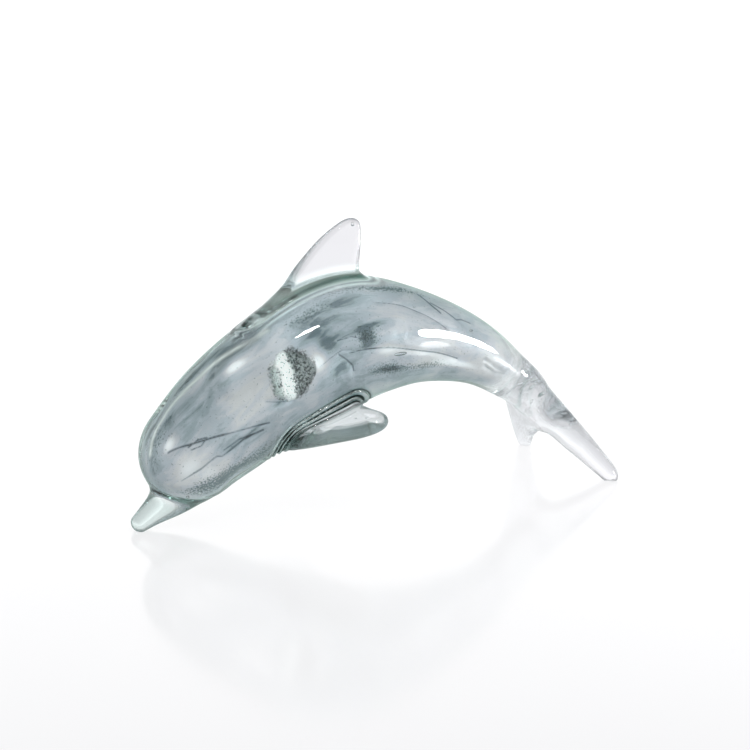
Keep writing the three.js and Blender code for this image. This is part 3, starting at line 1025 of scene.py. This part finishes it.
def studio_floor_material():
    shader = Shader("studio_floor")
    place = shader.node("TexCoord").outputs["Object"]
    mottle = shader.noise(place, 3.0, detail=2.0)
    colour = shader.ramp(mottle, (0.0, (0.09, 0.09, 0.10)), (1.0, (0.11, 0.11, 0.12)))
    shader.surface(shader.node("BsdfPrincipled", {
        "Base Color": colour, "Roughness": 0.12, "Specular IOR Level": 0.3,
        "Emission Color": (1, 1, 1, 1), "Emission Strength": 0.76,
    }).outputs[0])
    return shader.material


# ---------- Stage ----------

CAMERA_TARGET = Vector((0.0139, 0.0137, 0.0664))
CAMERA_AZIMUTH = -28.68
CAMERA_ELEVATION = 13.73
CAMERA_DISTANCE = 1.088
LENS_MM = 90
SENSOR_MM = 36
FLOOR_HALF = 14
# Grey of the studio round the object, by the height of the direction looked in.
WORLD_STOPS = [(0.0, 1.0), (0.36, 1.0), (0.48, 0.35), (0.72, 0.35), (0.84, 1.3), (1.0, 1.3)]
WORLD_STRENGTH = 1.05


def direction(azimuth, elevation):
    """Unit vector towards a place seen at that azimuth (0 is -Y, 90 is +X) and elevation, in degrees."""
    a = math.radians(azimuth)
    e = math.radians(elevation)
    return Vector((math.sin(a) * math.cos(e), -math.cos(a) * math.cos(e), math.sin(e)))


def add_camera():
    camera = bpy.data.objects.new("camera", bpy.data.cameras.new("camera"))
    bpy.context.scene.collection.objects.link(camera)
    camera.data.lens = LENS_MM
    camera.data.sensor_width = SENSOR_MM
    back = direction(CAMERA_AZIMUTH, CAMERA_ELEVATION)
    camera.location = CAMERA_TARGET + back * CAMERA_DISTANCE
    camera.rotation_mode = "QUATERNION"
    camera.rotation_quaternion = (-back).to_track_quat("-Z", "Y")
    camera.data.clip_end = 100
    bpy.context.scene.camera = camera


def add_floor():
    mesh = bpy.data.meshes.new("studio_floor")
    corners = [(x * FLOOR_HALF, y * FLOOR_HALF, 0) for x, y in ((-1, -1), (1, -1), (1, 1), (-1, 1))]
    mesh.from_pydata(corners, [], [(0, 1, 2, 3)])
    mesh.materials.append(studio_floor_material())
    floor = bpy.data.objects.new("studio_floor", mesh)
    bpy.context.scene.collection.objects.link(floor)


def add_softbox(name, azimuth, elevation, distance, width, height, watts):
    """An oval light that faces the object from that direction and distance in metres."""
    data = bpy.data.lights.new(name, "AREA")
    data.shape = "ELLIPSE"
    data.size = width
    data.size_y = height
    data.energy = watts
    light = bpy.data.objects.new(name, data)
    bpy.context.scene.collection.objects.link(light)
    towards = direction(azimuth, elevation)
    light.location = CAMERA_TARGET + towards * distance
    light.rotation_mode = "QUATERNION"
    light.rotation_quaternion = towards.to_track_quat("Z", "Y")


def add_world():
    """White low down all round, grey higher up, and a bright overhead panel."""
    world = bpy.data.worlds.new("studio")
    bpy.context.scene.world = world
    world.use_nodes = True
    tree = world.node_tree
    background = next(node for node in tree.nodes if node.type == "BACKGROUND")
    place = tree.nodes.new("ShaderNodeTexCoord")
    split = tree.nodes.new("ShaderNodeSeparateXYZ")
    ramp = tree.nodes.new("ShaderNodeValToRGB")
    tree.links.new(place.outputs["Generated"], split.inputs[0])
    tree.links.new(split.outputs["Z"], ramp.inputs["Fac"])
    tree.links.new(ramp.outputs["Color"], background.inputs["Color"])
    elements = ramp.color_ramp.elements
    while len(elements) < len(WORLD_STOPS):
        elements.new(0.5)
    for element, (position, grey) in zip(elements, WORLD_STOPS):
        element.position = position
        element.color = (grey, grey, grey, 1)
    background.inputs["Strength"].default_value = WORLD_STRENGTH


# ---------- Assembly ----------

glass_material = clear_glass()
for node, piece in fused_pieces().items():
    piece.data.materials.append(glass_material)
    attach(piece, "root")
    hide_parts(node)

veil = layer_piece("smoky_veil", layer_surface(0, VEIL_VOXEL), layer_surface(-VEIL_THICKNESS))
veil.data.materials.append(smoky_veil())
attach(veil, "root")
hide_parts("colour_veil")

leaf = silver_leaf_piece()
leaf.data.materials.append(silver_leaf())
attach(leaf, "root")
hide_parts("silver_leaf")

core = layer_piece("core_smoke", layer_surface(-4))
core.data.materials.append(core_smoke())
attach(core, "root")
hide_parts("core_gather")

add_camera()
add_floor()
add_world()
add_softbox("top_softbox", -8, 53, 1.2, 0.21, 0.06, 3)
add_softbox("side_softbox", 58, 4, 0.8, 0.14, 0.16, 5)

scene = bpy.context.scene
scene.view_settings.view_transform = "Standard"
scene.cycles.max_bounces = 32
scene.cycles.transmission_bounces = 24
scene.cycles.glossy_bounces = 12
scene.cycles.transparent_max_bounces = 64
